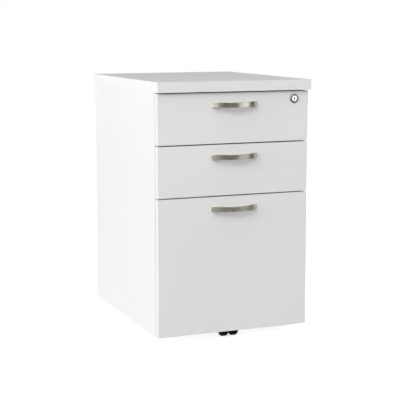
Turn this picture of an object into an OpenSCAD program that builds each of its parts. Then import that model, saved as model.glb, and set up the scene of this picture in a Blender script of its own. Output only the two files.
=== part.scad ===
// Rolling pedestal cabinet with two box drawers, one filing drawer, a central lock and castors.
// Millimetres. +X is the right-hand side, +Y the back, +Z up. The floor is z = 0 and the origin
// is the middle of the footprint, handles included.

/* [Carcass] */
// total height above the floor
height = 640; // [600:1:700]
// width of the top panel
top_width = 404; // [390:1:440]
// depth of the top panel
top_depth = 507; // [480:1:600]
// thickness of the top panel
top_thick = 25; // [16:1:30]
// width over the side panels and the drawer fronts
body_width = 397; // [380:1:430]
// thickness of the side panels and of the base
board = 18; // [15:1:19]
// thickness of the back panel
back_thick = 16; // [8:1:18]
// clearance from the floor to the side panels
side_bottom = 18.5; // [10:0.5:60]
// underside of the base panel above the floor
base_bottom = 55; // [50:1:70]
// bottom edge of the back panel above the floor
back_bottom = 37; // [20:1:70]

/* [Drawer fronts] */
// how far the top overhangs the drawer fronts
front_setback = 11; // [0:1:20]
// thickness of a drawer front
front_thick = 18; // [15:1:19]
// gap between a drawer front and the side panels behind it
front_gap = 2; // [1:0.5:4]
// bottom and top edges of the top drawer front
top_front_z = [489, 612]; // [480:1:612]
// bottom and top edges of the middle drawer front
middle_front_z = [362, 486]; // [350:1:490]
// bottom and top edges of the file drawer front
file_front_z = [21, 359]; // [10:1:365]

/* [Drawer boxes] */
// space for a runner between a drawer box and a side panel
runner_space = 12.7; // [12:0.1:14]
// thickness of the box sides and back
box_board = 12; // [10:1:16]
// length of the box sides
box_depth = 450; // [350:10:500]
// bottom and top edges of the top drawer box
top_box_z = [495, 578]; // [490:1:582]
// bottom and top edges of the middle drawer box
middle_box_z = [368, 451]; // [362:1:480]
// bottom and top edges of the file drawer box
file_box_z = [84, 324]; // [78:1:350]
// thickness of a drawer bottom
bottom_thick = 3.6; // [3:0.2:6]
// height of the drawer bottom above the lower edge of the box
bottom_rise = 10; // [6:1:16]
// depth of the grooves that hold the drawer bottom
groove_depth = 6; // [4:1:8]
// distance between the two hanging-file rails
file_span = 388; // [330:1:400]

/* [Runners] */
// height of the cabinet rail
rail_height = 45; // [35:1:50]
// sheet thickness of the rails
rail_sheet = 1.2; // [1:0.1:1.5]
// height of a ball track between two rails
ball_gap = 2; // [1.5:0.1:3]
// box screw positions along the drawer rail, from its front end
box_screws_y = [60, 240, 420]; // [20:1:430]
// length of each rail
rail_length = 450; // [350:10:500]
// centre heights of the top, middle and file runners
runner_z = [519, 392, 204]; // [110:1:530]
// rail screw positions along the rail, from its front end
rail_screws_y = [37, 165, 389]; // [20:1:430]

/* [Handles] */
// overall length of a handle
handle_length = 122.5; // [100:0.5:180]
// reach of a handle in front of the drawer front
handle_reach = 28; // [20:1:40]
// height of the strap
strap_height = 13; // [8:0.5:20]
// thickness of the strap
strap_thick = 3.4; // [2:0.1:6]
// distance between the two handle screws
handle_pitch = 96; // [64:32:160]
// distance from the top edge of a front to the middle of its handle
handle_drop = 28.8; // [20:0.5:60]

/* [Lock] */
// lock position to the right of the centre
lock_x = 160.5; // [140:0.5:165]
// lock height above the floor
lock_z = 593.5; // [585:0.5:600]
// diameter of the collar
collar_d = 23; // [18:0.5:28]
// how far the collar stands out of the front
collar_reach = 3; // [1:0.5:5]
// diameter of the plug
plug_d = 14.9; // [10:0.1:16]
// lift of the locking bar over half a turn of the key
bar_lift = 8; // [6:1:12]
// heights of the locking studs, unlocked: top, middle and file drawer
stud_z = [550, 423, 290]; // [280:1:552]

/* [Castors] */
// wheel diameter of the swivel castors
wheel_d = 40; // [30:1:50]
// distance of the kingpins from the middle of the cabinet
kingpin_x = 134; // [110:1:140]
// front and rear kingpin positions
kingpin_y = [-135, 195]; // [-160:1:200]
// trail of a castor
trail = 16; // [10:1:25]
// wheel diameter of the anti-tip roller
roller_d = 35; // [25:1:40]
// roller axle behind the face of the drawer front
roller_back = 37.5; // [30:0.5:60]
// distance between the two roller wheels
roller_pitch = 26; // [20:1:40]

/* [Hidden] */
// facets of plain rounds, small rounds, turned wheels and the handle's bow
round_n = 48;
fine = 32;
wheel_n = 72;
bow_n = 180;
// overrun of a cut past the face that it opens
cut = 0.5;
// radial clearance of a shaft in its bore
fit = 0.05;
// depth of the whole cabinet, handles included
depth = top_depth + handle_reach - front_setback;
y_rear = depth / 2;
y_top = y_rear - top_depth;
y_face = y_top + front_setback;
y_back_of_front = y_face + front_thick;
y_side = y_back_of_front + front_gap;
y_back = y_rear - back_thick;
z_top = height - top_thick;
x_out = body_width / 2;
x_in = x_out - board;
x_box = x_in - runner_space;
x_box_in = x_box - box_board;
base_top = base_bottom + board;
y_box_end = y_back_of_front + box_depth;
y_rail = y_side + 4;
// handles: the bow's radius, where the feet begin, and the screws that hold them
handle_radius = (pow(handle_length / 2, 2) + pow(handle_reach, 2)) / (2 * handle_reach);
foot_half = handle_pitch / 2 - 5;
handle_screw_r = 2;
handle_screw_hole_r = 2.2;
handle_screw_grip = 8;
pan_head_r = 4;
pan_head_high = 2.4;
// cross recess of a screw: length, width and depth
screw_recess = [5, 1, 1];
// cam fittings: disc and bolt, in a frame with +Z out of the board and +X along the bolt
cam_r = 7.45;
cam_bore_r = 7.5;
cam_deep = 12.5;
cam_bore_deep = 13;
cam_inset = 24;
cam_axis = 9;
bolt_r = 3.4;
bolt_bore_r = 3.5;
thread_r = 2.5;
thread_long = 11;
thread_spare = 0.3;
cam_recess = [8, 1.6, 1.8];
cam_top = 0.2;
cam_y = [-165, 200];
back_cam_z = [130, 540];
// runners: where the webs and lips of the rails stand, and their half heights
cabinet_lip_x = x_in - 9.5;
middle_web_x = x_in - 3.1;
middle_lip_x = x_in - 10.3;
drawer_lip_x = x_in - 4.3;
middle_half = rail_height / 2 - rail_sheet - ball_gap;
drawer_half = middle_half - rail_sheet - ball_gap;
// countersunk rail screws and their holes
sink_r = 3.2;
sink_hole_r = 1.9;
sunk_head_r = 3.05;
rail_screw_r = 1.7;
pilot_r = 1.75;
rail_screw_long = 13;
box_screw_long = 10;
pilot_spare = 0.5;
// drawer boxes: play of the bottom in its grooves
bottom_play = 0.4;
// hanging-file rails: a plate on edge under a flat cap
file_rail_y = [y_back_of_front + 24, y_back_of_front + 24 + file_span];
file_rail_deep = 14;
file_rail_cap = 1.5;
// lock: barrel, nut, plug and drive pin
barrel_r = 9.5;
barrel_behind = 6;
collar_bevel = 1.5;
collar_land = 1.4;
nut_r = 13;
nut_high = 3.4;
plug_sunk = 0.4;
plug_behind = 6.6;
flange_r = 8.2;
flange_y = y_back_of_front + 6.5;
flange_thick = 1.9;
keyway = [2.2, 16, 7.4];
pin_neck_r = 1.5;
pin_neck_y = [y_back_of_front + 4.5, y_back_of_front + 9];
pin_y = [y_back_of_front + 8.5, y_back_of_front + 17];
// locking bar: a strip in a groove of the right side panel
bar_groove_y = [y_side + 8, y_side + 22];
bar_groove_deep = 8;
bar_groove_z = [262, z_top + cut];
bar_x = [x_in + 0.5, x_in + 6.5];
bar_y = [y_side + 8.5, y_side + 21.5];
bar_z = [275, 582.4];
tab_y = [y_side + 8.5, y_side + 12.5];
tab_x = [lock_x - 9.5, x_in + 6.5];
tab_z = [582.5, 596.5];
pin_r = 2.5;
pin_offset = bar_lift / 2;
pin_slack = 1.3;
tab_slack = 0.3;
rivet_gap = 0.05;
stud_r = 2.5;
stud_y = y_side + 15;
stud_tip = x_in - 8;
guide_z = [[330, 342], [458, 470], [571, 580.5]];
guide_thick = 1.3;
guide_y = [y_side + 2, y_side + 28];
// lock catch: a wall and the foot that is fixed to the box side
catch_wall_y = [stud_y + 3.3, stud_y + 6.3];
catch_foot_y = [stud_y + 3.3, stud_y + 23];
catch_rise = [3.5, 19];
catch_foot = 1.5;
catch_gap = 4.5;
// castors: hood, wheels' web, axle, plate and kingpin
hood_r = 23;
hood_in = 21.2;
hood_half = 22.3;
hood_rim_z = wheel_d / 2 + 4;
web_half = 2;
hub_r = 12;
axle_r = 3;
axle_half = 20;
neck_r = 10;
neck_z = 28;
plate_half = 22;
plate_bottom = base_bottom - 2.5;
race_r = 11;
race_high = 3.5;
neck_gap = 0.6;
kingpin_r = 4;
kingpin_long = 12.5;
kingpin_hole_r = 4.08;
kingpin_hole_z = 38;
wheel_gap = 0.6;
castor_screw = 16;
castor_screw_r = 2;
castor_screw_long = 15;
castor_head_r = 3.9;
castor_head_high = 2;
// anti-tip roller and its bracket on the back of the file drawer front
roller_z = roller_d / 2;
roller_y = y_face + roller_back;
roller_axle_r = 2.5;
roller_axle_half = 22;
bracket_half = 24;
bracket_plate = 1.6;
bracket_plate_z = [36, 51];
bracket_web_half = 1;
bracket_web_top = 48;
bracket_screw_x = 16;
bracket_screw_z = 43;
bracket_screw_r = 1.75;
bracket_head_y = y_back_of_front + bracket_plate + fit;

module span(x, y, z) {
    translate([x[0], y[0], z[0]]) cube([x[1] - x[0], y[1] - y[0], z[1] - z[0]]);
}

module both_sides() {
    children();
    mirror([1, 0, 0]) children();
}

// a rod along +Y that starts at p
module rod_y(p, r, len) {
    translate(p) rotate([-90, 0, 0]) cylinder(r = r, h = len, $fn = fine);
}

// a rod along +X that starts at p
module rod_x(p, r, len) {
    translate(p) rotate([0, 90, 0]) cylinder(r = r, h = len, $fn = round_n);
}

// a cross recess of size [length, width, depth] that opens at z = 0, towards +Z
module cross_recess(size) {
    for (turn = [0, 90]) rotate([0, 0, turn])
        translate([-size[0] / 2, -size[1] / 2, -size[2]])
            cube([size[0], size[1], size[2] + cut]);
}

// ---- cam fittings --------------------------------------------------------------------------

module at_top_cams() {
    for (y = cam_y) translate([x_in, y, z_top - cam_inset]) rotate([0, -90, 0]) children();
}

module at_base_cams() {
    for (y = cam_y) translate([x_in - cam_inset, y, base_bottom]) rotate([180, 0, 0]) children();
}

module at_back_cams() {
    for (z = back_cam_z) translate([x_in - cam_inset, y_back, z]) rotate([90, 0, 0]) children();
}

module cam_disc() {
    difference() {
        translate([0, 0, -cam_deep]) cylinder(r = cam_r, h = cam_deep - cam_top, $fn = round_n);
        rod_x([0, 0, -cam_axis], bolt_bore_r, cam_r + cut);
        translate([0, 0, -cam_top]) cross_recess(cam_recess);
    }
}

module cam_bolt() {
    rod_x([1, 0, -cam_axis], bolt_r, cam_inset - 1);
    rod_x([cam_inset - cut, 0, -cam_axis], thread_r, thread_long + cut);
}

module cam_cuts() {
    translate([0, 0, -cam_bore_deep]) cylinder(r = cam_bore_r, h = cam_bore_deep + cut,
        $fn = round_n);
    rod_x([0, 0, -cam_axis], bolt_bore_r, cam_inset + cut);
}

module thread_cut() {
    rod_x([cam_inset - cut, 0, -cam_axis], thread_r + fit, thread_long + cut + thread_spare);
}

module cam_discs() {
    color([0.7, 0.7, 0.7]) both_sides() {
        at_top_cams() cam_disc();
        at_base_cams() cam_disc();
        at_back_cams() cam_disc();
    }
}

module cam_bolts() {
    color([0.72, 0.7, 0.6]) both_sides() {
        at_top_cams() cam_bolt();
        at_base_cams() cam_bolt();
        at_back_cams() cam_bolt();
    }
}

// ---- carcass panels ------------------------------------------------------------------------

module top_panel() {
    color([0.93, 0.93, 0.92]) difference() {
        span([-top_width / 2, top_width / 2], [y_top, y_rear], [z_top, height]);
        both_sides() at_top_cams() thread_cut();
    }
}

// the side panel on the right, without the groove for the locking bar
module side_board() {
    difference() {
        span([x_in, x_out], [y_side, y_rear], [side_bottom, z_top]);
        at_top_cams() cam_cuts();
        at_base_cams() thread_cut();
        at_back_cams() thread_cut();
        for (z = runner_z) for (y = rail_screws_y)
            rod_x([x_in - cut, y_rail + y, z], pilot_r, rail_screw_long + 2 * cut);
    }
}

module left_side_panel() {
    color([0.93, 0.93, 0.92]) mirror([1, 0, 0]) side_board();
}

module right_side_panel() {
    color([0.93, 0.93, 0.92]) difference() {
        side_board();
        span([x_in - cut, x_in + bar_groove_deep], bar_groove_y, bar_groove_z);
    }
}

module back_panel() {
    color([0.93, 0.93, 0.92]) difference() {
        span([-x_in, x_in], [y_back, y_rear], [back_bottom, z_top]);
        both_sides() at_back_cams() cam_cuts();
    }
}

module base_panel() {
    color([0.93, 0.93, 0.92]) difference() {
        span([-x_in, x_in], [y_side, y_back], [base_bottom, base_top]);
        both_sides() at_base_cams() cam_cuts();
        at_castors() at_plate_screws()
            translate([0, 0, base_bottom - cut])
                cylinder(r = castor_screw_r + fit, h = castor_screw_long - 2 * cut, $fn = fine);
    }
}

// ---- runners -------------------------------------------------------------------------------

// a C section: web between x0 and x1, lips that reach x_lip, over the rail's length
module c_rail(x0, x1, x_lip, half, y, z) {
    reach = [min(x0, x_lip), max(x1, x_lip)];
    inside = x_lip < x0 ? [x_lip - cut, x0] : [x1, x_lip + cut];
    difference() {
        span(reach, [y, y + rail_length], [z - half, z + half]);
        span(inside, [y - cut, y + rail_length + cut],
            [z - half + rail_sheet, z + half - rail_sheet]);
    }
}

// countersunk hole in a rail's web, from z = 0 to its wide end at z = rail_sheet
module sink_hole() {
    translate([0, 0, -0.01]) cylinder(r1 = sink_hole_r, r2 = sink_r, h = rail_sheet + 0.02, $fn = fine);
}

// countersunk screw: its head fills the sink hole and its shank runs down from z = 0
module sunk_screw(long) {
    translate([0, 0, -fit]) {
        cylinder(r1 = rail_screw_r, r2 = sunk_head_r, h = rail_sheet, $fn = fine);
        rotate([180, 0, 0]) cylinder(r = rail_screw_r, h = long, $fn = fine);
    }
}

// at each rail screw, with +Z out of the side panel
module at_rail_screws(z) {
    for (y = rail_screws_y) translate([x_in, y_rail + y, z]) rotate([0, -90, 0]) children();
}

// at each box screw, with +Z out of the box side
module at_box_screws(z) {
    for (y = box_screws_y) translate([x_box, y_rail + y, z]) rotate([0, 90, 0]) children();
}

module cabinet_rails(z) {
    color([0.75, 0.76, 0.78]) both_sides() difference() {
        c_rail(x_in - rail_sheet, x_in, cabinet_lip_x, rail_height / 2, y_rail, z);
        at_rail_screws(z) sink_hole();
    }
}

module middle_rails(z) {
    color([0.75, 0.76, 0.78]) both_sides()
        c_rail(middle_web_x, middle_web_x + rail_sheet, middle_lip_x, middle_half, y_rail, z);
}

// each drawer rail with the screws that hold it to the box side
module drawer_rails(z) {
    color([0.75, 0.76, 0.78]) both_sides() {
        difference() {
            c_rail(x_box, x_box + rail_sheet, drawer_lip_x, drawer_half, y_rail, z);
            at_box_screws(z) sink_hole();
        }
        at_box_screws(z) sunk_screw(box_screw_long);
    }
}

module rail_screws() {
    color([0.7, 0.7, 0.72]) both_sides() for (z = runner_z)
        at_rail_screws(z) sunk_screw(rail_screw_long - rail_sheet);
}

module top_cabinet_rails() {
    cabinet_rails(runner_z[0]);
}

module middle_cabinet_rails() {
    cabinet_rails(runner_z[1]);
}

module file_cabinet_rails() {
    cabinet_rails(runner_z[2]);
}

module top_middle_rails() {
    middle_rails(runner_z[0]);
}

module middle_middle_rails() {
    middle_rails(runner_z[1]);
}

module file_middle_rails() {
    middle_rails(runner_z[2]);
}

// ---- drawers -------------------------------------------------------------------------------

module drawer_front(z) {
    difference() {
        span([-x_out, x_out], [y_face, y_back_of_front], z);
        both_sides() rod_y([handle_pitch / 2, y_face - cut, z[1] - handle_drop],
            handle_screw_hole_r, front_thick + 2 * cut);
    }
}

module drawer_side(z, rail_z) {
    color([0.9, 0.9, 0.89]) difference() {
        span([x_box_in, x_box], [y_back_of_front, y_box_end], z);
        span([x_box_in - cut, x_box_in + groove_depth],
            [y_back_of_front - cut, y_box_end - box_board + groove_depth],
            [z[0] + bottom_rise, z[0] + bottom_rise + bottom_thick + bottom_play]);
        at_box_screws(rail_z) translate([0, 0, -box_screw_long - pilot_spare])
            cylinder(r = pilot_r, h = box_screw_long + pilot_spare + cut, $fn = fine);
    }
}

module drawer_back(z) {
    color([0.9, 0.9, 0.89]) difference() {
        span([-x_box_in, x_box_in], [y_box_end - box_board, y_box_end], z);
        span([-x_box_in - cut, x_box_in + cut],
            [y_box_end - box_board - cut, y_box_end - box_board + groove_depth],
            [z[0] + bottom_rise, z[0] + bottom_rise + bottom_thick + bottom_play]);
    }
}

module drawer_bottom(z) {
    low = z[0] + bottom_rise + bottom_play / 2;
    color([0.88, 0.88, 0.87]) span(
        [-x_box_in - groove_depth + bottom_play, x_box_in + groove_depth - bottom_play],
        [y_back_of_front + bottom_play, y_box_end - box_board + groove_depth - bottom_play],
        [low, low + bottom_thick]);
}

// a bowed flat strap with two solid feet on the face of the front
module handle(z) {
    color([0.72, 0.7, 0.66]) difference() {
        translate([0, y_face, z - strap_height / 2]) linear_extrude(strap_height) difference() {
            translate([0, handle_radius - handle_reach]) circle(r = handle_radius, $fn = bow_n);
            translate([-handle_length, 0]) square([2 * handle_length, 2 * handle_radius]);
            intersection() {
                translate([0, handle_radius - handle_reach])
                    circle(r = handle_radius - strap_thick, $fn = bow_n);
                translate([-foot_half, -handle_reach]) square([2 * foot_half, handle_reach + cut]);
            }
        }
        both_sides() rod_y([handle_pitch / 2, y_face - handle_screw_grip - cut, z],
            handle_screw_r + fit, handle_screw_grip + 2 * cut);
    }
}

module handle_screws(z) {
    color([0.8, 0.8, 0.8]) both_sides() {
        rod_y([handle_pitch / 2, y_face - handle_screw_grip, z], handle_screw_r,
            front_thick + handle_screw_grip + pan_head_high / 2);
        difference() {
            rod_y([handle_pitch / 2, y_back_of_front, z], pan_head_r, pan_head_high);
            translate([handle_pitch / 2, y_back_of_front + pan_head_high, z])
                rotate([-90, 0, 0]) cross_recess(screw_recess);
        }
    }
}

// a short plate on the box side with a wall that a raised stud catches
module lock_catch(z) {
    color([0.75, 0.76, 0.78]) {
        span([x_box, x_in - catch_gap], catch_wall_y, [z + catch_rise[0], z + catch_rise[1]]);
        span([x_box, x_box + catch_foot], catch_foot_y, [z + catch_rise[0], z + catch_rise[1]]);
    }
}

module top_drawer_front() {
    color([0.93, 0.93, 0.92]) difference() {
        drawer_front(top_front_z);
        rod_y([lock_x, y_face - cut, lock_z], barrel_r + fit, front_thick + 2 * cut);
    }
}

module top_drawer_left_side() {
    mirror([1, 0, 0]) drawer_side(top_box_z, runner_z[0]);
}

module top_drawer_right_side() {
    drawer_side(top_box_z, runner_z[0]);
}

module top_drawer_back() {
    drawer_back(top_box_z);
}

module top_drawer_bottom() {
    drawer_bottom(top_box_z);
}

module top_drawer_handle() {
    handle(top_front_z[1] - handle_drop);
}

module top_drawer_handle_screws() {
    handle_screws(top_front_z[1] - handle_drop);
}

module top_drawer_rails() {
    drawer_rails(runner_z[0]);
}

module top_drawer_lock_catch() {
    lock_catch(stud_z[0]);
}

module middle_drawer_front() {
    color([0.93, 0.93, 0.92]) drawer_front(middle_front_z);
}

module middle_drawer_left_side() {
    mirror([1, 0, 0]) drawer_side(middle_box_z, runner_z[1]);
}

module middle_drawer_right_side() {
    drawer_side(middle_box_z, runner_z[1]);
}

module middle_drawer_back() {
    drawer_back(middle_box_z);
}

module middle_drawer_bottom() {
    drawer_bottom(middle_box_z);
}

module middle_drawer_handle() {
    handle(middle_front_z[1] - handle_drop);
}

module middle_drawer_handle_screws() {
    handle_screws(middle_front_z[1] - handle_drop);
}

module middle_drawer_rails() {
    drawer_rails(runner_z[1]);
}

module middle_drawer_lock_catch() {
    lock_catch(stud_z[1]);
}

module file_drawer_front() {
    color([0.93, 0.93, 0.92]) difference() {
        drawer_front(file_front_z);
        both_sides() rod_y([bracket_screw_x, y_back_of_front - 11, bracket_screw_z],
            bracket_screw_r + fit, 11 + cut);
    }
}

module file_drawer_left_side() {
    mirror([1, 0, 0]) drawer_side(file_box_z, runner_z[2]);
}

module file_drawer_right_side() {
    drawer_side(file_box_z, runner_z[2]);
}

module file_drawer_back() {
    drawer_back(file_box_z);
}

module file_drawer_bottom() {
    drawer_bottom(file_box_z);
}

module file_drawer_handle() {
    handle(file_front_z[1] - handle_drop);
}

module file_drawer_handle_screws() {
    handle_screws(file_front_z[1] - handle_drop);
}

module file_drawer_rails() {
    drawer_rails(runner_z[2]);
}

module file_drawer_lock_catch() {
    lock_catch(stud_z[2]);
}

// two cross rails that carry the hooks of hanging folders
module hanging_file_rails() {
    top = file_box_z[1];
    color([0.75, 0.76, 0.78]) for (y = file_rail_y) {
        span([-x_box_in + 0.2, x_box_in - 0.2], [y - 1, y + 1],
            [top - file_rail_deep, top + file_rail_cap]);
        span([-x_box + 2, x_box - 2], [y - 5, y + 5], [top, top + file_rail_cap]);
    }
}

// ---- lock ----------------------------------------------------------------------------------

// collar and barrel in one piece, bored for the plug
module lock_housing() {
    flat = collar_reach - collar_bevel;
    color([0.35, 0.35, 0.36]) difference() {
        union() {
            rod_y([lock_x, y_face, lock_z], barrel_r, front_thick + barrel_behind);
            translate([lock_x, y_face, lock_z]) rotate([90, 0, 0]) {
                cylinder(r = collar_d / 2, h = flat, $fn = round_n);
                translate([0, 0, flat]) cylinder(r1 = collar_d / 2, r2 = plug_d / 2 + collar_land,
                    h = collar_bevel, $fn = round_n);
            }
        }
        rod_y([lock_x, y_face - collar_reach - cut, lock_z], plug_d / 2 + fit,
            front_thick + barrel_behind + collar_reach + 2 * cut);
    }
}

// hexagonal nut that clamps the housing from behind the front
module lock_nut() {
    color([0.75, 0.76, 0.78]) difference() {
        translate([lock_x, y_back_of_front + nut_high, lock_z]) rotate([90, 0, 0])
            cylinder(r = nut_r, h = nut_high, $fn = 6);
        rod_y([lock_x, y_back_of_front - cut, lock_z], barrel_r + fit, nut_high + 2 * cut);
    }
}

module lock_plug() {
    color([0.85, 0.85, 0.86]) difference() {
        union() {
            rod_y([lock_x, y_face - collar_reach + plug_sunk, lock_z], plug_d / 2,
                collar_reach - plug_sunk + front_thick + plug_behind);
            rod_y([lock_x, flange_y, lock_z], flange_r, flange_thick);
        }
        translate([lock_x - keyway[0] / 2, y_face - collar_reach - cut, lock_z - keyway[2] / 2])
            cube(keyway);
        rod_y([lock_x, pin_neck_y[0] - cut, lock_z - pin_offset], pin_neck_r + fit,
            pin_neck_y[1] - pin_neck_y[0] + 3 * cut);
    }
}

// eccentric pin in the back of the plug; its thick end drives the locking bar
module lock_drive_pin() {
    color([0.75, 0.76, 0.78]) {
        rod_y([lock_x, pin_neck_y[0], lock_z - pin_offset], pin_neck_r,
            pin_neck_y[1] - pin_neck_y[0]);
        rod_y([lock_x, pin_y[0], lock_z - pin_offset], pin_r, pin_y[1] - pin_y[0]);
    }
}

// strip, drive tab and three studs, riveted together
module locking_bar() {
    slot_half = pin_offset + pin_r + tab_slack;
    pin_z = lock_z - pin_offset;
    color([0.78, 0.79, 0.8]) {
        span(bar_x, bar_y, bar_z);
        difference() {
            span(tab_x, tab_y, tab_z);
            span([lock_x - slot_half, lock_x + slot_half], [tab_y[0] - cut, tab_y[1] + cut],
                [pin_z - pin_r - pin_slack, pin_z + pin_r + pin_slack]);
        }
        for (z = stud_z)
            rod_x([stud_tip, stud_y, z], stud_r, bar_x[0] - stud_tip - rivet_gap);
    }
}

module lock_bar_guides() {
    color([0.2, 0.2, 0.2]) for (z = guide_z) span([x_in - guide_thick, x_in], guide_y, z);
}

// ---- castors -------------------------------------------------------------------------------

module at_castors() {
    for (x = [-kingpin_x, kingpin_x]) for (y = kingpin_y) translate([x, y, 0]) children();
}

module at_plate_screws() {
    for (x = [-castor_screw, castor_screw]) for (y = [-castor_screw, castor_screw])
        translate([x, y, 0]) children();
}

// a square plate with the race and the kingpin of a castor in one piece
module castor_plates() {
    color([0.75, 0.76, 0.78]) at_castors() difference() {
        union() {
            span([-plate_half, plate_half], [-plate_half, plate_half],
                [plate_bottom, base_bottom]);
            translate([0, 0, plate_bottom - race_high])
                cylinder(r = race_r, h = race_high + cut, $fn = round_n);
            translate([0, 0, plate_bottom - kingpin_long])
                cylinder(r = kingpin_r, h = kingpin_long + cut, $fn = fine);
        }
        at_plate_screws() translate([0, 0, plate_bottom - cut])
            cylinder(r = castor_screw_r + 4 * fit, h = base_bottom - plate_bottom + 3 * cut,
                $fn = fine);
    }
}

module castor_plate_screws() {
    color([0.7, 0.7, 0.72]) at_castors() at_plate_screws() translate([0, 0, plate_bottom]) {
        difference() {
            translate([0, 0, -castor_head_high])
                cylinder(r = castor_head_r, h = castor_head_high, $fn = fine);
            translate([0, 0, -castor_head_high]) rotate([180, 0, 0]) cross_recess(screw_recess);
        }
        translate([0, 0, -castor_head_high / 2]) cylinder(r = castor_screw_r,
            h = castor_screw_long + castor_head_high / 2 - 2 * cut, $fn = fine);
    }
}

// what is cut away below the rim of a castor's hood
module below_rim(half) {
    span([-half - cut, half + cut], [trail - hood_r - cut, trail + hood_r + cut],
        [wheel_d / 2 - hood_r - cut, hood_rim_z]);
}

// hood, centre web and neck of a swivel castor, with its axle; the kingpin axis is x = y = 0
module castor_fork(x, y) {
    neck_top = plate_bottom - race_high - neck_gap;
    color([0.08, 0.08, 0.08]) translate([x, y, 0]) {
        difference() {
            union() {
                difference() {
                    rod_x([-hood_half, trail, wheel_d / 2], hood_r, 2 * hood_half);
                    below_rim(hood_half);
                }
                translate([0, 0, neck_z])
                    cylinder(r = neck_r, h = neck_top - neck_z, $fn = round_n);
            }
            rod_x([-hood_half - cut, trail, wheel_d / 2], hood_in, 2 * (hood_half + cut));
            translate([0, 0, kingpin_hole_z])
                cylinder(r = kingpin_hole_r, h = base_bottom - kingpin_hole_z, $fn = fine);
        }
        difference() {
            union() {
                rod_x([-web_half, trail, wheel_d / 2], hub_r, 2 * web_half);
                difference() {
                    rod_x([-web_half, trail, wheel_d / 2], hood_in + cut, 2 * web_half);
                    below_rim(web_half);
                }
            }
            rod_x([-web_half - cut, trail, wheel_d / 2], axle_r + fit, 2 * (web_half + cut));
        }
    }
    color([0.6, 0.6, 0.62]) translate([x, y, 0])
        rod_x([-axle_half, trail, wheel_d / 2], axle_r, 2 * axle_half);
}

// one wheel about its own axle, from x = 0 outward, closed on the outside
module castor_wheel() {
    r = wheel_d / 2;
    rotate([90, 0, 90]) rotate_extrude($fn = wheel_n) polygon([
        [axle_r + fit, 0], [r - 3, 0], [r - 1.6, 0.8], [r - 0.5, 2.2], [r, 4], [r, 14.5],
        [r - 0.5, 16.4], [r - 1.6, 17.8], [r - 3.5, 18.7], [r - 7, 19], [0, 19], [0, 17.9],
        [axle_r + fit, 17.9]]);
}

module castor_wheels(x, y) {
    color([0.07, 0.07, 0.07]) translate([x, y + trail, wheel_d / 2])
        both_sides() translate([web_half + wheel_gap, 0, 0]) castor_wheel();
}

module castor_fork_front_left() {
    castor_fork(-kingpin_x, kingpin_y[0]);
}

module castor_fork_front_right() {
    castor_fork(kingpin_x, kingpin_y[0]);
}

module castor_fork_rear_left() {
    castor_fork(-kingpin_x, kingpin_y[1]);
}

module castor_fork_rear_right() {
    castor_fork(kingpin_x, kingpin_y[1]);
}

module castor_wheels_front_left() {
    castor_wheels(-kingpin_x, kingpin_y[0]);
}

module castor_wheels_front_right() {
    castor_wheels(kingpin_x, kingpin_y[0]);
}

module castor_wheels_rear_left() {
    castor_wheels(-kingpin_x, kingpin_y[1]);
}

module castor_wheels_rear_right() {
    castor_wheels(kingpin_x, kingpin_y[1]);
}

// ---- anti-tip roller -----------------------------------------------------------------------

// plate on the back of the file drawer front, with a web down to the axle, and two screws
module anti_tip_bracket() {
    color([0.12, 0.12, 0.12]) {
        difference() {
            union() {
                span([-bracket_half, bracket_half],
                    [y_back_of_front, y_back_of_front + bracket_plate], bracket_plate_z);
                span([-bracket_web_half, bracket_web_half],
                    [y_back_of_front + bracket_plate / 2, roller_y + 5],
                    [bracket_plate_z[0], bracket_web_top]);
                span([-bracket_web_half, bracket_web_half], [roller_y - 6, roller_y + 5],
                    [roller_z, bracket_plate_z[0] + 4]);
                rod_x([-bracket_web_half, roller_y, roller_z], 6, 2 * bracket_web_half);
            }
            rod_x([-bracket_web_half - cut, roller_y, roller_z], roller_axle_r + fit,
                2 * (bracket_web_half + cut));
            both_sides() rod_y([bracket_screw_x, y_back_of_front - cut, bracket_screw_z],
                bracket_screw_r + 5 * fit, bracket_plate + 2 * cut);
        }
        rod_x([-roller_axle_half, roller_y, roller_z], roller_axle_r, 2 * roller_axle_half);
        both_sides() {
            rod_y([bracket_screw_x, y_back_of_front - 10, bracket_screw_z], bracket_screw_r, 12);
            rod_y([bracket_screw_x, bracket_head_y, bracket_screw_z], 3.6, 1.8);
        }
    }
}

// barrel-shaped roller, centred on x = 0, closed on the outside
module roller() {
    r = roller_d / 2;
    bore = roller_axle_r + fit;
    rotate([90, 0, 90]) rotate_extrude($fn = wheel_n) polygon([
        [bore, -11.6], [r - 9.5, -11.6], [r - 6.5, -11.1], [r - 3.7, -9.8], [r - 1.6, -8],
        [r - 0.4, -6.4], [r, -5], [r, 5], [r - 0.4, 6.4], [r - 1.6, 8], [r - 3.7, 9.8],
        [r - 6.5, 11.1], [r - 9.5, 11.9], [4, 12.2], [0, 12.3], [0, 9.5], [bore, 9.5]]);
}

module anti_tip_wheels() {
    color([0.07, 0.07, 0.07]) translate([0, roller_y, roller_z])
        both_sides() translate([roller_pitch / 2, 0, 0]) roller();
}

// ---- sub-parts ----------------------------------------------------------------------------

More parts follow.
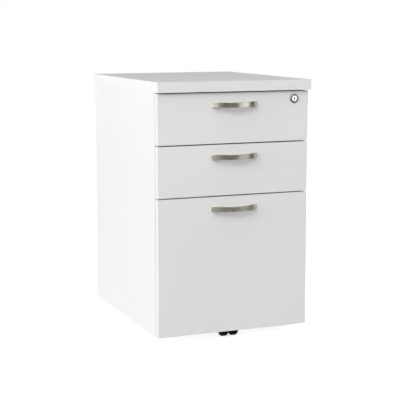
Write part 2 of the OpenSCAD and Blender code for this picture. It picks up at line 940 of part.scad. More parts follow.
top_panel();
left_side_panel();
right_side_panel();
back_panel();
base_panel();
cam_discs();
cam_bolts();
top_cabinet_rails();
middle_cabinet_rails();
file_cabinet_rails();
rail_screws();
lock_bar_guides();
castor_plates();
castor_plate_screws();
locking_bar();
top_middle_rails();
middle_middle_rails();
file_middle_rails();
top_drawer_front();
top_drawer_left_side();
top_drawer_right_side();
top_drawer_back();
top_drawer_bottom();
top_drawer_handle();
top_drawer_handle_screws();
top_drawer_rails();
top_drawer_lock_catch();
middle_drawer_front();
middle_drawer_left_side();
middle_drawer_right_side();
middle_drawer_back();
middle_drawer_bottom();
middle_drawer_handle();
middle_drawer_handle_screws();
middle_drawer_rails();
middle_drawer_lock_catch();
file_drawer_front();
file_drawer_left_side();
file_drawer_right_side();
file_drawer_back();
file_drawer_bottom();
file_drawer_handle();
file_drawer_handle_screws();
file_drawer_rails();
file_drawer_lock_catch();
hanging_file_rails();
lock_housing();
lock_nut();
lock_plug();
lock_drive_pin();
anti_tip_bracket();
anti_tip_wheels();
castor_fork_front_left();
castor_fork_front_right();
castor_fork_rear_left();
castor_fork_rear_right();
castor_wheels_front_left();
castor_wheels_front_right();
castor_wheels_rear_left();
castor_wheels_rear_right();
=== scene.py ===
"""Looks of the rolling pedestal cabinet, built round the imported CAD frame. Everything is in metres."""
import math

import bmesh
import bpy
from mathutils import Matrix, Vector


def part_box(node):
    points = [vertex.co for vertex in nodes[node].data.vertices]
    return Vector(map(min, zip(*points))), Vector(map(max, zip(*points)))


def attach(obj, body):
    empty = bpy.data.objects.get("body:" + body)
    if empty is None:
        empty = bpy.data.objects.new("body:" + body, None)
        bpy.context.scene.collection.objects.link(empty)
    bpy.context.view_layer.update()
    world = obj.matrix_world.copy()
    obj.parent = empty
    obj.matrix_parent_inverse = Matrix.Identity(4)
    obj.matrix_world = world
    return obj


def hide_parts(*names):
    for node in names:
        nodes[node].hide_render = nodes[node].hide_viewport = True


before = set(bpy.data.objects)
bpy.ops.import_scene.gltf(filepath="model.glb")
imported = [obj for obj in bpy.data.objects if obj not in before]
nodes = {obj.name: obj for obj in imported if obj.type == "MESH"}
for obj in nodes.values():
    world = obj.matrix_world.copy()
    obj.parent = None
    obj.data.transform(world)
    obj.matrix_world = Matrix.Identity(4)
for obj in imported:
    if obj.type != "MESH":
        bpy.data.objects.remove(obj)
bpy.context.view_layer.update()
MM = 0.001
DRAWERS = ("top", "middle", "file")
CORNERS = ("front_left", "front_right", "rear_left", "rear_right")


# ---- shader helpers ------------------------------------------------------------------------

# most values of a noise lie in this range
MOST_NOISE = (0.3, 0.7)
SCUFF_LENGTHWISE = 90.0
SCUFF_ACROSS = 1600.0
SCUFF_PATCHES = 9


class Shader:
    """A material's node tree, with short calls that add nodes and link them.

    The scale of a noise is in features per metre.
    """

    def __init__(self, name):
        self.material = bpy.data.materials.new(name)
        self.material.use_nodes = True
        self.tree = self.material.node_tree
        self.surface = self.tree.nodes["Principled BSDF"]
        self.place = self.add("ShaderNodeTexCoord").outputs["Object"]

    def add(self, kind, inputs=None, **settings):
        made = self.tree.nodes.new(kind)
        for key, value in settings.items():
            setattr(made, key, value)
        for key, value in (inputs or {}).items():
            self.feed(made.inputs[key], value)
        return made

    def feed(self, socket, value):
        if isinstance(value, bpy.types.NodeSocket):
            self.tree.links.new(value, socket)
        else:
            socket.default_value = value

    def set(self, **values):
        for key, value in values.items():
            self.feed(self.surface.inputs[key.replace("_", " ")], value)

    def math(self, operation, a, b=0.0):
        return self.add("ShaderNodeMath", {0: a, 1: b}, operation=operation).outputs[0]

    def stretched(self, factors):
        return self.add("ShaderNodeMapping", {"Vector": self.place, "Scale": factors}).outputs[0]

    def noise(self, scale, detail=2.0, rough=0.5, place=None):
        made = self.add(
            "ShaderNodeTexNoise",
            {"Vector": place or self.place, "Scale": scale, "Detail": detail, "Roughness": rough},
        )
        return made.outputs["Fac"]

    def ramp(self, value, low, high, start=0.0, end=1.0):
        """value from start to end mapped to low to high."""
        made = self.add(
            "ShaderNodeMapRange",
            {"Value": value, "From Min": start, "From Max": end, "To Min": low, "To Max": high},
        )
        return made.outputs[0]

    def step(self, value, start, end):
        """0 at start, 1 at end, smooth between."""
        made = self.add(
            "ShaderNodeMapRange",
            {"Value": value, "From Min": start, "From Max": end},
            interpolation_type="SMOOTHSTEP",
        )
        return made.outputs[0]

    def fall(self, value, start, end):
        """1 at start, 0 at end, smooth between."""
        return self.math("SUBTRACT", 1.0, self.step(value, start, end))

    def mix(self, factor, a, b):
        made = self.add("ShaderNodeMix", data_type="RGBA")
        self.feed(made.inputs["Factor"], factor)
        self.feed(made.inputs["A"], a)
        self.feed(made.inputs["B"], b)
        return made.outputs["Result"]

    def bump(self, height, depth):
        inputs = {"Height": height, "Distance": depth, "Strength": 1.0}
        return self.add("ShaderNodeBump", inputs).outputs[0]

    def scratches(self, across, share):
        """Thin straight scuffs that lie across one axis, on a share of the surface."""
        factors = [SCUFF_LENGTHWISE] * 3
        factors[across] = SCUFF_ACROSS
        lines = self.noise(1.0, 1.0, 0.4, self.stretched(factors))
        patches = self.noise(SCUFF_PATCHES, 2.0, 0.5)
        return self.math("MULTIPLY", self.step(lines, 0.66, 0.72), self.step(patches, 1 - share, 1.0))


def grey(value, warmth=0.0):
    return (value * (1 + warmth), value, value * (1 - warmth), 1.0)


def darker(colour, factor):
    return tuple(c * factor for c in colour[:3]) + (1.0,)


# ---- melamine ------------------------------------------------------------------------------

PEARL_GRAIN = 1100
PEARL_DEPTH = 0.04 * MM
CLOUDS = 4
RUBBED = 38
RUBBED_ROUGHNESS = 0.07
SCUFFED_SHARE = 0.45
SCUFF_ROUGHNESS = 0.12
# half the width of the glue line, to where it starts to fade and to where it has gone
GLUE_LINE = (0.05 * MM, 0.22 * MM)
GLUE_LINE_DEPTH = 2.0
WORN_WIDTH = 4 * MM
WORN_SHARE = 0.25
WORN_ROUGHNESS = 0.1


def melamine(name, light, rough, board=None):
    """White melamine foil with a fine pearl grain, faint scuffs and uneven gloss.

    board is the (size, axis, band) of a board that also shows rubbed edges, and a glue line at
    the distance band inside the edges of its faces.
    """
    s = Shader(name)
    pearl = s.noise(PEARL_GRAIN, 3.0, 0.6)
    clouds = s.noise(CLOUDS, 3.0, 0.5)
    colour = s.mix(s.step(clouds, *MOST_NOISE), grey(light * 0.985, 0.003), grey(light, 0.001))
    scuffs = s.math("ADD", s.scratches(0, SCUFFED_SHARE), s.scratches(2, SCUFFED_SHARE))
    rub = s.noise(RUBBED, 4.0, 0.65)
    rough_at = s.ramp(rub, rough - RUBBED_ROUGHNESS, rough + RUBBED_ROUGHNESS, 0.25, 0.75)
    rough_at = s.math("ADD", rough_at, s.math("MULTIPLY", scuffs, SCUFF_ROUGHNESS))
    height = pearl
    if board is not None:
        size, axis, band = board
        near, on_face = edge_distance(s, size, axis)
        line = glue_line(s, near, on_face, band)
        worn = s.math("MULTIPLY", s.fall(near, 0.0, WORN_WIDTH), s.step(rub, 0.5, 0.7))
        colour = s.mix(s.math("MULTIPLY", worn, WORN_SHARE), colour, grey(light * 0.86, 0.015))
        colour = s.mix(line, colour, grey(light * 0.78, 0.01))
        rough_at = s.math("ADD", rough_at, s.math("MULTIPLY", worn, WORN_ROUGHNESS))
        height = s.math("SUBTRACT", pearl, s.math("MULTIPLY", line, GLUE_LINE_DEPTH))
    s.set(Base_Color=colour, Roughness=rough_at, Normal=s.bump(height, PEARL_DEPTH), IOR=1.5)
    return s.material


def edge_distance(s, size, axis):
    """(distance to the nearest edge of a board, 1 on its two faces). axis is the one it is thin along."""
    coords = s.add("ShaderNodeTexCoord")
    share = s.add("ShaderNodeSeparateXYZ", {0: coords.outputs["Generated"]})
    facing = s.add("ShaderNodeSeparateXYZ", {0: coords.outputs["Normal"]})
    distances = []
    for i in range(3):
        if i != axis:
            far = s.math("SUBTRACT", 1.0, share.outputs[i])
            distances.append(s.math("MULTIPLY", s.math("MINIMUM", share.outputs[i], far), size[i]))
    on_face = s.step(s.math("ABSOLUTE", facing.outputs[axis]), 0.8, 0.95)
    return s.math("MINIMUM", *distances), on_face


def glue_line(s, near, on_face, band):
    """1 on the fine line where the edge band meets the foil of a face, 0 elsewhere."""
    off = s.math("ABSOLUTE", s.math("SUBTRACT", near, band))
    return s.math("MULTIPLY", s.fall(off, *GLUE_LINE), on_face)


# ---- metals and plastics -------------------------------------------------------------------

BRUSH_LINES = 5200
BRUSH_STRETCH = 0.02
BRUSH_DEPTH = 0.002 * MM
BRUSH_ROUGHNESS = 0.03
FINGER_MARKS = 35
BLOTCHES = 90
SPANGLE = 240
ROLLED_LINES = 1500
ROLLED_STRETCH = 0.03
ROLLED_DEPTH = 0.01 * MM
RUBBED_SHEET = 26
POLISH_MARKS = 260
POLISH_HAZE = 3000
POLISH_DEPTH = 0.002 * MM
SPARK_GRAIN = 2600
PLASTIC_WEAR = 55
DUST = 18
DUST_SHARE = 0.25


def brushed(name, colour, rough, along):
    """Satin plating over fine parallel polishing lines. along is the axis the lines run along."""
    s = Shader(name)
    factors = [1.0, 1.0, 1.0]
    factors[along] = BRUSH_STRETCH
    lines = s.noise(BRUSH_LINES, 2.0, 0.7, s.stretched(factors))
    blotch = s.noise(BLOTCHES, 3.0, 0.5)
    touched = s.step(s.noise(FINGER_MARKS, 4.0, 0.6), 0.5, 0.75)
    mixed = s.math("ADD", s.math("MULTIPLY", lines, 0.7), s.math("MULTIPLY", blotch, 0.3))
    rough_at = s.ramp(mixed, rough - BRUSH_ROUGHNESS, rough + BRUSH_ROUGHNESS, 0.2, 0.8)
    s.set(
        Base_Color=s.mix(s.step(lines, 0.2, 0.8), darker(colour, 0.93), colour),
        Metallic=1.0,
        Roughness=s.math("ADD", rough_at, s.math("MULTIPLY", touched, BRUSH_ROUGHNESS)),
        Normal=s.bump(lines, BRUSH_DEPTH),
    )
    return s.material


def plated_sheet(name, colour, rough):
    """Zinc-plated steel sheet: faint spangle, rolling lines and rubbed patches."""
    s = Shader(name)
    spangle = s.noise(SPANGLE, 3.0, 0.6)
    rolled = s.noise(ROLLED_LINES, 2.0, 0.6, s.stretched((1.0, ROLLED_STRETCH, 1.0)))
    rubbed = s.step(s.noise(RUBBED_SHEET, 4.0, 0.6), 0.45, 0.7)
    shade = s.math("ADD", s.math("MULTIPLY", spangle, 0.6), s.math("MULTIPLY", rolled, 0.4))
    rough_at = s.ramp(spangle, rough - 0.05, rough + 0.15)
    s.set(
        Base_Color=s.mix(s.step(shade, *MOST_NOISE), darker(colour, 0.82), colour),
        Metallic=1.0,
        Roughness=s.math("SUBTRACT", rough_at, s.math("MULTIPLY", rubbed, 0.06)),
        Normal=s.bump(rolled, ROLLED_DEPTH),
    )
    return s.material


def polished(name, colour, rough):
    """Chrome or bright zinc with very faint polishing marks and fingerprints."""
    s = Shader(name)
    marks = s.noise(POLISH_MARKS, 4.0, 0.6)
    haze = s.noise(POLISH_HAZE, 1.0, 0.5)
    s.set(
        Base_Color=s.mix(s.step(marks, *MOST_NOISE), darker(colour, 0.93), colour),
        Metallic=1.0,
        Roughness=s.ramp(marks, rough, rough + 0.08, *MOST_NOISE),
        Normal=s.bump(haze, POLISH_DEPTH),
    )
    return s.material


def moulded(name, light, rough, texture, gloss=0.5):
    """Moulded plastic or powder coat: a fine spark-eroded texture, uneven gloss and a little dust."""
    s = Shader(name)
    grain = s.noise(SPARK_GRAIN, 2.0, 0.6)
    wear = s.noise(PLASTIC_WEAR, 4.0, 0.6)
    dust = s.math("MULTIPLY", s.step(s.noise(DUST, 5.0, 0.7), 0.5, 0.8), DUST_SHARE)
    colour = s.mix(s.step(wear, *MOST_NOISE), grey(light * 0.85), grey(light * 1.25, 0.01))
    s.set(
        Base_Color=s.mix(dust, colour, grey(light * 2.2, 0.03)),
        Roughness=s.ramp(wear, rough - 0.06, rough + 0.1, *MOST_NOISE),
        Normal=s.bump(grain, texture),
        IOR=1.5,
        Specular_IOR_Level=gloss,
    )
    return s.material


# ---- mesh helpers --------------------------------------------------------------------------

SMOOTH_BELOW = 38
CUT_SHARP = 20
FLAT_ANGLE = 0.5
SAME_POINT = 0.0001 * MM
WELD_WITHIN = 0.01 * MM
TURNED_STEPS = 72


def finish_piece(obj, body, material, replaced=()):
    """The piece rides on its body and takes its material; replaced are the CAD nodes it stands for."""
    obj.data.materials.clear()
    obj.data.materials.append(material)
    if replaced:
        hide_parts(*replaced)
    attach(obj, body)


def object_from(bm, name, sharp=SMOOTH_BELOW):
    """The bmesh as an object, smooth except where faces meet at more than sharp degrees."""
    bmesh.ops.recalc_face_normals(bm, faces=bm.faces)
    mesh = bpy.data.meshes.new(name)
    bm.to_mesh(mesh)
    bm.free()
    mesh.shade_smooth()
    mesh.set_sharp_from_angle(angle=math.radians(sharp))
    obj = bpy.data.objects.new(name, mesh)
    bpy.context.scene.collection.objects.link(obj)
    return obj


def round_edges(obj, width, segments, angle):
    """Rounds the edges of obj with modifiers, which leave its own mesh as it is.

    The triangles of each flat face are joined first, so that the bevel runs true round holes.
    """
    weld = obj.modifiers.new("weld", "WELD")
    weld.merge_threshold = WELD_WITHIN
    flat = obj.modifiers.new("flat", "DECIMATE")
    flat.decimate_type = "DISSOLVE"
    flat.angle_limit = math.radians(FLAT_ANGLE)
    bevel = obj.modifiers.new("bevel", "BEVEL")
    bevel.width = width
    bevel.segments = segments
    bevel.limit_method = "ANGLE"
    bevel.angle_limit = math.radians(angle)
    bevel.use_clamp_overlap = True
    bevel.miter_outer = "MITER_ARC"
    even = obj.modifiers.new("even", "WEIGHTED_NORMAL")
    even.mode = "FACE_AREA"
    even.weight = 100
    even.keep_sharp = True


def add_prism(bm, outline, base, rise, place):
    """Adds a closed outline of (a, b) points, extruded from base by rise. place maps (a, b, c) to xyz."""
    low = [bm.verts.new(place(a, b, base)) for a, b in outline]
    high = [bm.verts.new(place(a, b, base + rise)) for a, b in outline]
    bm.faces.new(low[::-1])
    bm.faces.new(high)
    for i in range(len(outline)):
        j = (i + 1) % len(outline)
        bm.faces.new((low[i], low[j], high[j], high[i]))


def add_revolved(bm, profile, place, steps=TURNED_STEPS):
    """Adds a profile of (radius, along) points turned once round. place maps (a, b, along) to xyz."""
    rings = []
    turn = [2 * math.pi * k / steps for k in range(steps)]
    for radius, along in profile:
        if radius < SAME_POINT:
            rings.append([bm.verts.new(place(0.0, 0.0, along))])
        else:
            points = [(radius * math.cos(t), radius * math.sin(t)) for t in turn]
            rings.append([bm.verts.new(place(a, b, along)) for a, b in points])
    for one, two in zip(rings, rings[1:]):
        for k in range(steps):
            n = (k + 1) % steps
            corners = [one[k % len(one)], one[n % len(one)], two[n % len(two)], two[k % len(two)]]
            unique = list(dict.fromkeys(corners))
            if len(unique) > 2:
                bm.faces.new(unique)


def close_seams(bm):
    """Joins the first and the last ring of a profile that ends where it starts."""
    bmesh.ops.remove_doubles(bm, verts=bm.verts, dist=SAME_POINT)


def arc(centre, radius, start, end, steps):
    """Points along an arc, angles in degrees."""
    turn = [math.radians(start + (end - start) * k / steps) for k in range(steps + 1)]
    return [(centre[0] + radius * math.cos(t), centre[1] + radius * math.sin(t)) for t in turn]


def turned_corner(start, corner, end, steps):
    """Points of a quadratic curve from start to end, pulled towards corner."""
    points = []
    for k in range(steps + 1):
        t = k / steps
        pulls = ((start, (1 - t) ** 2), (corner, 2 * t * (1 - t)), (end, t**2))
        points.append(tuple(sum(share * point[i] for point, share in pulls) for i in (0, 1)))
    return points


def stadium(width, height, steps=12):
    """Outline of an upright slot with round ends."""
    r = width / 2
    straight = height / 2 - r
    return arc((0, straight), r, 0, 180, steps) + arc((0, -straight), r, 180, 360, steps)


def cut_out(obj, outline, base, rise, place):
    """Cuts a prism out of obj and keeps the result as its mesh."""
    bm = bmesh.new()
    add_prism(bm, outline, base, rise, place)
    cutter = object_from(bm, "cutter")
    change = obj.modifiers.new("cut", "BOOLEAN")
    change.operation = "DIFFERENCE"
    change.solver = "EXACT"
    change.object = cutter
    cut = bpy.data.meshes.new_from_object(obj.evaluated_get(bpy.context.evaluated_depsgraph_get()))
    cut.shade_smooth()
    cut.set_sharp_from_angle(angle=math.radians(CUT_SHARP))
    obj.modifiers.clear()
    old = obj.data
    obj.data = cut
    bpy.data.meshes.remove(old)
    bpy.data.meshes.remove(cutter.data)


# ---- drawer handles ------------------------------------------------------------------------

STRAP_THICK = 3.4 * MM
FOOT_HALF = 43 * MM
FOOT_FILLET = 7 * MM
FOOT_RISE = 0.5 * MM
FILLET_STEPS = 8
INSIDE_STEPS = 40
OUTSIDE_STEPS = 72
HANDLE_EDGE = 0.6 * MM


def handle_outline(half, reach):
    """The bow seen from above: y is 0 on the drawer front and -reach at its crown."""
    radius = (half**2 + reach**2) / (2 * reach)
    centre = (0.0, radius - reach)
    end_angle = math.degrees(math.acos(half / radius))
    inner = radius - STRAP_THICK

    def inner_y(x):
        return centre[1] - math.sqrt(inner**2 - x**2)

    corner = (FOOT_HALF, inner_y(FOOT_HALF))
    start = (FOOT_HALF, min(-FOOT_RISE, corner[1] + FOOT_FILLET))
    span = FOOT_HALF - FOOT_FILLET
    fillet = turned_corner(start, corner, (span, inner_y(span)), FILLET_STEPS)
    across = [span - 2 * span * k / INSIDE_STEPS for k in range(1, INSIDE_STEPS)]
    outline = arc(centre, radius, 180 + end_angle, 360 - end_angle, OUTSIDE_STEPS)
    outline += [(FOOT_HALF, 0.0)] + fillet
    outline += [(x, inner_y(x)) for x in across]
    return outline + [(-x, y) for x, y in fillet[::-1]] + [(-FOOT_HALF, 0.0)]


def make_handle(drawer, material):
    node = f"{drawer}_drawer_handle"
    low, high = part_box(node)
    middle_x = (low.x + high.x) / 2
    outline = handle_outline((high.x - low.x) / 2, high.y - low.y)
    bm = bmesh.new()
    add_prism(bm, outline, low.z, high.z - low.z, lambda a, b, c: (middle_x + a, high.y + b, c))
    obj = object_from(bm, f"{drawer}_strap_handle", 30)
    round_edges(obj, HANDLE_EDGE, 4, 40)
    finish_piece(obj, f"{drawer}_drawer", material, [node])


def make_handles():
    material = brushed("satin_nickel", (0.70, 0.67, 0.57, 1.0), 0.27, 0)
    for drawer in DRAWERS:
        make_handle(drawer, material)


# ---- lock ----------------------------------------------------------------------------------

PLUG_R = 7.45 * MM
PLUG_BORE = 7.5 * MM
PLUG_BEVEL = 0.6 * MM
DISH_R = 5.2 * MM
DISH_DEEP = 0.35 * MM
DISH_SLOPE = 0.5 * MM
FLANGE_R = 8.2 * MM
FLANGE_THICK = 1.9 * MM
BARREL_R = 9.5 * MM
BARREL_CHAMFER = 0.5 * MM
COLLAR_DOME = 2.4 * MM
COLLAR_STEP = 0.8 * MM
COLLAR_STEPS = 96
KEY_MOUTH = (3.6 * MM, 8.0 * MM)
KEY_DEEP = 16 * MM
# the near-black plate behind the key mouth, painted shade for the inside of the keyway: how far it is
# sunk and how thick
SHADE_PLATE_SUNK = 0.2 * MM
SHADE_PLATE_THICK = 1 * MM
SLOT_HALF_WIDTH = 0.9 * MM
SLOT_HALF_HEIGHT = 3.0 * MM
WARD = 0.35 * MM
WARD_BOTTOM = (-1.2 * MM, -1.0 * MM)
WARD_TOP = (0.5 * MM, 0.7 * MM)


def about_lock():
    """Maps (a, b, along) to xyz round the lock's axis, along towards the back of the cabinet."""
    low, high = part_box("lock_housing")
    x, z = (low.x + high.x) / 2, (low.z + high.z) / 2
    return lambda a, b, c: (x + a, c, z + b)


def make_lock_collar():
    """A flanged barrel with a domed rim and a polished step round the plug."""
    low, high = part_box("lock_housing")
    rim = (high.x - low.x) / 2
    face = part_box("top_drawer_front")[0].y
    profile = [(PLUG_BORE, high.y), (PLUG_BORE, low.y + COLLAR_STEP)]
    profile += [(PLUG_BORE + 0.25 * MM, low.y + COLLAR_STEP / 2)]
    profile += [(PLUG_BORE + COLLAR_STEP, low.y + 0.1 * MM), (PLUG_BORE + 1.3 * MM, low.y)]
    profile += arc((rim - COLLAR_DOME, low.y + COLLAR_DOME), COLLAR_DOME, 270, 352, 10)
    profile += [(rim, face), (BARREL_R, face + 0.01 * MM), (BARREL_R, high.y - BARREL_CHAMFER)]
    profile += [(BARREL_R - BARREL_CHAMFER, high.y), (PLUG_BORE, high.y)]
    bm = bmesh.new()
    add_revolved(bm, profile, about_lock(), COLLAR_STEPS)
    close_seams(bm)
    obj = object_from(bm, "lock_collar", 40)
    chrome = polished("black_chrome", grey(0.28), 0.12)
    finish_piece(obj, "top_drawer", chrome, ["lock_housing"])


def make_lock_plug():
    """The turning plug with its dished face and key mouth."""
    low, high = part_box("lock_plug")
    flange = high.y - FLANGE_THICK
    dish = low.y + DISH_DEEP
    profile = [(0.0, dish), (DISH_R - DISH_SLOPE, dish), (DISH_R, low.y)]
    profile += arc((PLUG_R - PLUG_BEVEL, low.y + PLUG_BEVEL), PLUG_BEVEL, 270, 360, 6)
    profile += [(PLUG_R, flange), (FLANGE_R, flange), (FLANGE_R, high.y), (0.0, high.y)]
    bm = bmesh.new()
    add_revolved(bm, profile, about_lock())
    plug = object_from(bm, "lock_cylinder")
    cut_out(plug, stadium(*KEY_MOUTH), low.y - MM, KEY_DEEP, about_lock())
    chrome = polished("polished_chrome", grey(0.95), 0.1)
    finish_piece(plug, "lock_plug", chrome, ["lock_plug"])


def make_keyway_shade_plate():
    """A near-black plate just behind the key mouth, with the key slot through it: painted shade for the
    dark inside of the keyway.
    """
    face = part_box("lock_plug")[0].y + DISH_DEEP + SHADE_PLATE_SUNK
    bm = bmesh.new()
    add_prism(bm, stadium(*KEY_MOUTH), face, SHADE_PLATE_THICK, about_lock())
    shade_plate = object_from(bm, "lock_keyway_shade_plate")
    cut_out(shade_plate, warded_slot(), face - SHADE_PLATE_THICK, 3 * SHADE_PLATE_THICK, about_lock())
    # its near-black colour is painted shade, standing in for the shadow inside the keyway
    finish_piece(shade_plate, "lock_plug", polished("keyway_painted_shade", grey(0.03), 0.3))


def warded_slot():
    """The key slot: a narrow upright slot with a ward on each side."""
    half = SLOT_HALF_WIDTH
    right = [(half, -SLOT_HALF_HEIGHT), (half, WARD_BOTTOM[0]), (half - WARD, WARD_BOTTOM[1])]
    right += [(half - WARD, WARD_TOP[0]), (half, WARD_TOP[1]), (half, SLOT_HALF_HEIGHT)]
    return right + [(-x, -z) for x, z in right]


# ---- wheels --------------------------------------------------------------------------------

AXLE_CLEAR = 0.05 * MM
CASTOR_AXLE = 3 * MM
CASTOR_GAP_HALF = 2.6 * MM
ROLLER_AXLE = 2.5 * MM
ROLLER_HALF = 12.3 * MM
# the roller's rounded ends in mm: how far below the tread, and how far in from the end
ROLLER_INNER_END = ((9.5, 0.0), (6.5, 0.5), (3.7, 1.8), (1.6, 3.6), (0.4, 5.2))
ROLLER_OUTER_END = ((0.4, 5.9), (1.6, 4.3), (3.7, 2.5), (6.5, 1.2), (9.3, 0.5))
# the groove round its cap, in the same way
ROLLER_CAP_GROOVE = ((9.9, 0.9), (11.7, 0.8), (12.2, 0.3))


def along_x(centre, side):
    """Maps (a, b, along) to xyz round an axle along X; along grows away from the middle."""
    return lambda a, b, c: (centre.x + side * c, centre.y + a, centre.z + b)


def make_twin(name, node, profile, material):
    """A pair of mirrored wheels as one piece, in place of their CAD node and on the body of its name."""
    low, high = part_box(node)
    bm = bmesh.new()
    for side in (-1, 1):
        add_revolved(bm, profile, along_x((low + high) / 2, side))
    close_seams(bm)
    finish_piece(object_from(bm, name), node, material, [node])


def castor_profile(radius, start, end, axle):
    """A castor wheel from its inner face to its outer one: crowned tread, dished disc, hub cap."""
    shoulder = 2.2 * MM
    crown = 0.25 * MM
    tread_half = 0.8 * MM
    rim = radius - 3.4 * MM
    cap = 5.2 * MM
    dish = end - 1.3 * MM
    bore_end = end - 1.1 * MM
    middle = (start + end) / 2
    width = end - start
    profile = [(axle, start), (rim, start), (rim + 0.4 * MM, start + 0.3 * MM)]
    profile += arc((radius - shoulder, start + 0.6 * MM + shoulder), shoulder, -80, 0, 6)
    profile += [(radius - crown, start + 0.38 * width), (radius, middle - tread_half)]
    profile += [(radius, middle + tread_half), (radius - crown, start + 0.62 * width)]
    profile += arc((radius - shoulder, end - 0.6 * MM - shoulder), shoulder, 0, 80, 6)
    profile += [(rim + 0.4 * MM, end - 0.3 * MM), (rim, end - 0.2 * MM), (rim - 0.7 * MM, end - 0.5 * MM)]
    profile += [(rim - 1.2 * MM, dish), (cap + 2.0 * MM, dish - 0.4 * MM), (cap + 0.6 * MM, dish)]
    profile += [(cap, end - 0.5 * MM), (cap - 0.6 * MM, end - 0.1 * MM), (cap / 2, end), (0.0, end)]
    return profile + [(0.0, bore_end), (axle, bore_end), (axle, start)]


def make_castor_wheels(corner, material):
    node = f"castor_wheels_{corner}"
    low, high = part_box(node)
    radius = (high.z - low.z) / 2
    profile = castor_profile(radius, CASTOR_GAP_HALF, (high.x - low.x) / 2, CASTOR_AXLE + AXLE_CLEAR)
    make_twin(f"twin_wheels_{corner}", node, profile, material)


def roller_profile(radius, middle, axle):
    """One barrel-shaped roller from its inner face to its outer one, with a moulded cap."""
    flat = 5 * MM
    cap = 2.6 * MM
    inner = middle - 0.94 * ROLLER_HALF
    outer = middle + ROLLER_HALF
    bore_end = outer - 2.8 * MM
    profile = [(axle, inner)]
    profile += [(radius - below * MM, inner + depth * MM) for below, depth in ROLLER_INNER_END]
    profile += [(radius, middle - flat), (radius, middle + flat)]
    profile += [(radius - below * MM, outer - depth * MM) for below, depth in ROLLER_OUTER_END]
    profile += [(radius - below * MM, outer - depth * MM) for below, depth in ROLLER_CAP_GROOVE]
    return profile + [(cap, outer), (0.0, outer), (0.0, bore_end), (axle, bore_end), (axle, inner)]


def make_anti_tip_rollers():
    low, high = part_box("anti_tip_wheels")
    middle = (high.x - low.x) / 2 - ROLLER_HALF
    profile = roller_profile((high.z - low.z) / 2, middle, ROLLER_AXLE + AXLE_CLEAR)
    nylon = moulded("roller_nylon", 0.004, 0.5, 0.02 * MM, 0.1)
    make_twin("anti_tip_rollers", "anti_tip_wheels", profile, nylon)


# ---- carried-over CAD nodes ----------------------------------------------------------------

BOARD_LIGHT = 0.84
BAND_THICK = 0.4 * MM
SQUARE_EDGES = 60


def dress(node, material, width=0.0, segments=2, angle=32):
    """Gives a CAD node its material, and rounds its edges where width says so."""
    obj = nodes[node]
    if not obj.material_slots:
        obj.data.materials.append(material)
    for slot in obj.material_slots:
        slot.material = material
    if width:
        round_edges(obj, width, segments, angle)


def dress_boards():
    """Carcass boards and drawer fronts, each with the glue line of its edge band."""
    # the axis each board is thin along, the radius of its edges, and the segments of that radius
    boards = {
        "top_panel": (2, 2.8 * MM, 5),
        "left_side_panel": (0, 1.0 * MM, 3),
        "right_side_panel": (0, 1.0 * MM, 3),
        "back_panel": (1, 0.7 * MM, 2),
        "base_panel": (2, 0.7 * MM, 2),
    }
    boards.update({f"{d}_drawer_front": (1, 0.5 * MM, 3) for d in DRAWERS})
    for node, (axis, radius, segments) in boards.items():
        low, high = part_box(node)
        board = (tuple(high - low), axis, radius + BAND_THICK)
        foil = melamine(f"melamine_{node}", BOARD_LIGHT, 0.42, board)
        dress(node, foil, radius, segments, SQUARE_EDGES)


def dress_drawer_boxes():
    board = melamine("drawer_board_foil", 0.80, 0.5)
    bottom = melamine("drawer_bottom_lacquer", 0.78, 0.45)
    for d in DRAWERS:
        for part in ("left_side", "right_side", "back"):
            dress(f"{d}_drawer_{part}", board, 0.7 * MM, 2, SQUARE_EDGES)
        dress(f"{d}_drawer_bottom", bottom, 0.3 * MM, 1, SQUARE_EDGES)


def dress_metal():
    sheet = plated_sheet("zinc_sheet", grey(0.62, -0.01), 0.34)
    zinc = plated_sheet("die_cast_zinc", grey(0.5), 0.5)
    screw = polished("bright_zinc", grey(0.68), 0.22)
    for d in DRAWERS:
        for node in (f"{d}_cabinet_rails", f"{d}_middle_rails", f"{d}_drawer_rails"):
            dress(node, sheet, 0.35 * MM)
        dress(f"{d}_drawer_lock_catch", sheet, 0.3 * MM)
        dress(f"{d}_drawer_handle_screws", screw, 0.3 * MM)
    dress("hanging_file_rails", sheet, 0.3 * MM)
    dress("locking_bar", sheet, 0.5 * MM)
    dress("lock_nut", zinc, 0.4 * MM)
    dress("lock_drive_pin", screw, 0.3 * MM)
    dress("rail_screws", screw, 0.1 * MM, 1)
    dress("castor_plate_screws", screw, 0.3 * MM)
    dress("castor_plates", sheet, 0.4 * MM)
    dress("cam_discs", zinc)
    dress("cam_bolts", zinc, 0.2 * MM, 1)
    dress("anti_tip_bracket", moulded("black_powder_coat", 0.03, 0.5, 0.05 * MM), 0.3 * MM)


def dress_castors():
    """Forks and bar guides in black nylon, and the castor wheels rebuilt with treads and hub caps."""
    nylon = moulded("black_nylon", 0.022, 0.45, 0.03 * MM, 0.4)
    tread = moulded("castor_tread", 0.014, 0.4, 0.02 * MM, 0.4)
    dress("lock_bar_guides", nylon, 0.2 * MM)
    for corner in CORNERS:
        dress(f"castor_fork_{corner}", nylon, 0.5 * MM)
        make_castor_wheels(corner, tread)


# ---- stage ---------------------------------------------------------------------------------

CAMERA_PLACE = (-1.159, -2.848, 0.780)
CAMERA_YAW = 22.23
CAMERA_PITCH = 7.61
CAMERA_LENS = 106.3
CAMERA_SHIFT = -0.05
SENSOR_WIDTH = 36
FLOOR_RADIUS = 8.0
# the floor changes from its near brightness to its far one between these distances
NEAR_FLOOR = 1.0
FAR_FLOOR = 2.2
NEAR_SEEN = 0.72
FAR_SEEN = 1.0
NEAR_GLOW = 0.45
FAR_GLOW = 0.18
ROOM_GLOW = 0.06
AIM_HEIGHT = 0.35
LIGHT_DISTANCE = 4.5
CARD_DISTANCE = 3.0
CARD_SIZE = (0.45, 0.45)
CARD_POWER = 0.8
WHITE = (1.0, 1.0, 1.0, 1.0)


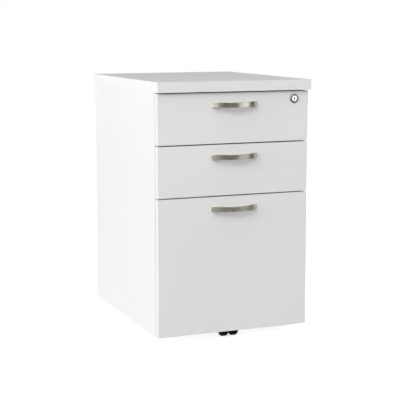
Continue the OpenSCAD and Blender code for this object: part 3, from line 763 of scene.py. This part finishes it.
def make_camera():
    """A long lens from the front left, a little above the top of the cabinet."""
    data = bpy.data.cameras.new("camera")
    data.lens = CAMERA_LENS
    data.sensor_width = SENSOR_WIDTH
    data.shift_y = CAMERA_SHIFT
    obj = bpy.data.objects.new("camera", data)
    bpy.context.scene.collection.objects.link(obj)
    obj.location = CAMERA_PLACE
    obj.rotation_euler = (math.radians(90 - CAMERA_PITCH), 0, math.radians(-CAMERA_YAW))
    bpy.context.scene.camera = obj


def split_rays(tree, seen, unseen):
    """One shader where the camera looks straight at it, and another for light and reflections."""
    rays = tree.nodes.new("ShaderNodeLightPath")
    mix = tree.nodes.new("ShaderNodeMixShader")
    tree.links.new(rays.outputs["Is Camera Ray"], mix.inputs[0])
    tree.links.new(unseen.outputs[0], mix.inputs[1])
    tree.links.new(seen.outputs[0], mix.inputs[2])
    return mix.outputs[0]


def make_floor():
    """A pale floor that is seen white with a soft shadow, and lights the cabinet evenly from below."""
    bm = bmesh.new()
    bmesh.ops.create_circle(bm, cap_ends=True, segments=96, radius=FLOOR_RADIUS)
    floor = object_from(bm, "floor")
    s = Shader("pale_floor")
    reach = s.add("ShaderNodeVectorMath", {0: s.place}, operation="LENGTH").outputs["Value"]
    away = s.step(reach, NEAR_FLOOR, FAR_FLOOR)
    s.set(
        Base_Color=s.mix(s.noise(6, 2.0), grey(0.80), grey(0.82)),
        Roughness=0.9,
        Emission_Color=WHITE,
        Emission_Strength=s.ramp(away, NEAR_SEEN, FAR_SEEN),
        Specular_IOR_Level=0.0,
    )
    glow = s.add("ShaderNodeEmission", {"Strength": s.ramp(away, NEAR_GLOW, FAR_GLOW)})
    shown = split_rays(s.tree, s.surface, glow)
    s.tree.links.new(shown, s.tree.nodes["Material Output"].inputs["Surface"])
    floor.data.materials.append(s.material)


def white_background(tree, strength):
    made = tree.nodes.new("ShaderNodeBackground")
    made.inputs["Color"].default_value = WHITE
    made.inputs["Strength"].default_value = strength
    return made


def make_world():
    """White where the camera looks past the floor, and a dim room for light and reflections."""
    world = bpy.data.worlds.new("room")
    bpy.context.scene.world = world
    world.use_nodes = True
    tree = world.node_tree
    tree.nodes.clear()
    out = tree.nodes.new("ShaderNodeOutputWorld")
    shown = split_rays(tree, white_background(tree, 1.0), white_background(tree, ROOM_GLOW))
    tree.links.new(shown, out.inputs[0])


def area_light(name, aim, away, distance, size, power):
    """A rectangular light, distance from aim in the direction away and turned to face it."""
    data = bpy.data.lights.new(name, "AREA")
    data.shape = "RECTANGLE"
    data.size, data.size_y = size
    data.energy = power
    obj = bpy.data.objects.new(name, data)
    obj.visible_camera = False
    bpy.context.scene.collection.objects.link(obj)
    obj.location = aim + away * distance
    obj.rotation_euler = (-away).to_track_quat("-Z", "Y").to_euler()


def soft_box(name, azimuth, elevation, size, power):
    """A soft box aimed at the cabinet. Azimuth is from the front, positive to the right."""
    a, e = math.radians(azimuth), math.radians(elevation)
    away = Vector((math.sin(a) * math.cos(e), -math.cos(a) * math.cos(e), math.sin(e)))
    area_light(name, Vector((0, 0, AIM_HEIGHT)), away, LIGHT_DISTANCE, size, power)


def light_lock_face():
    """A small card that stands where the lock's flat face mirrors it to the camera."""
    low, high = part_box("lock_plug")
    face = Vector(((low.x + high.x) / 2, low.y, (low.z + high.z) / 2))
    mirrored = (Vector(CAMERA_PLACE) - face).normalized()
    mirrored.x = -mirrored.x
    mirrored.z = -mirrored.z
    area_light("lock_card", face, mirrored, CARD_DISTANCE, CARD_SIZE, CARD_POWER)


def light_scene():
    """Large soft boxes: a bright left side, an even front, a duller top and a soft fill behind."""
    soft_box("left_box", -95, 5, (2.8, 1.4), 95)
    soft_box("left_key", -60, 20, (2.2, 2.0), 93)
    soft_box("front_box", 5, 28, (3.0, 2.0), 35)
    soft_box("front_high_box", 5, 42, (3.0, 1.8), 37)
    soft_box("right_strip", 30, 8, (1.4, 1.6), 4)
    soft_box("right_box", 50, 10, (2.0, 2.0), 23)
    soft_box("top_box", -10, 75, (2.6, 2.6), 72)
    soft_box("rear_right_box", 120, 15, (2.4, 1.6), 70)
    soft_box("rear_left_box", -150, 15, (2.4, 1.6), 50)
    light_lock_face()
    view = bpy.context.scene.view_settings
    view.view_transform = "Standard"
    view.look = "None"


# ---- build ---------------------------------------------------------------------------------

dress_boards()
dress_drawer_boxes()
dress_metal()
dress_castors()
make_anti_tip_rollers()
make_handles()
make_lock_collar()
make_lock_plug()
make_keyway_shade_plate()
make_camera()
make_floor()
make_world()
light_scene()
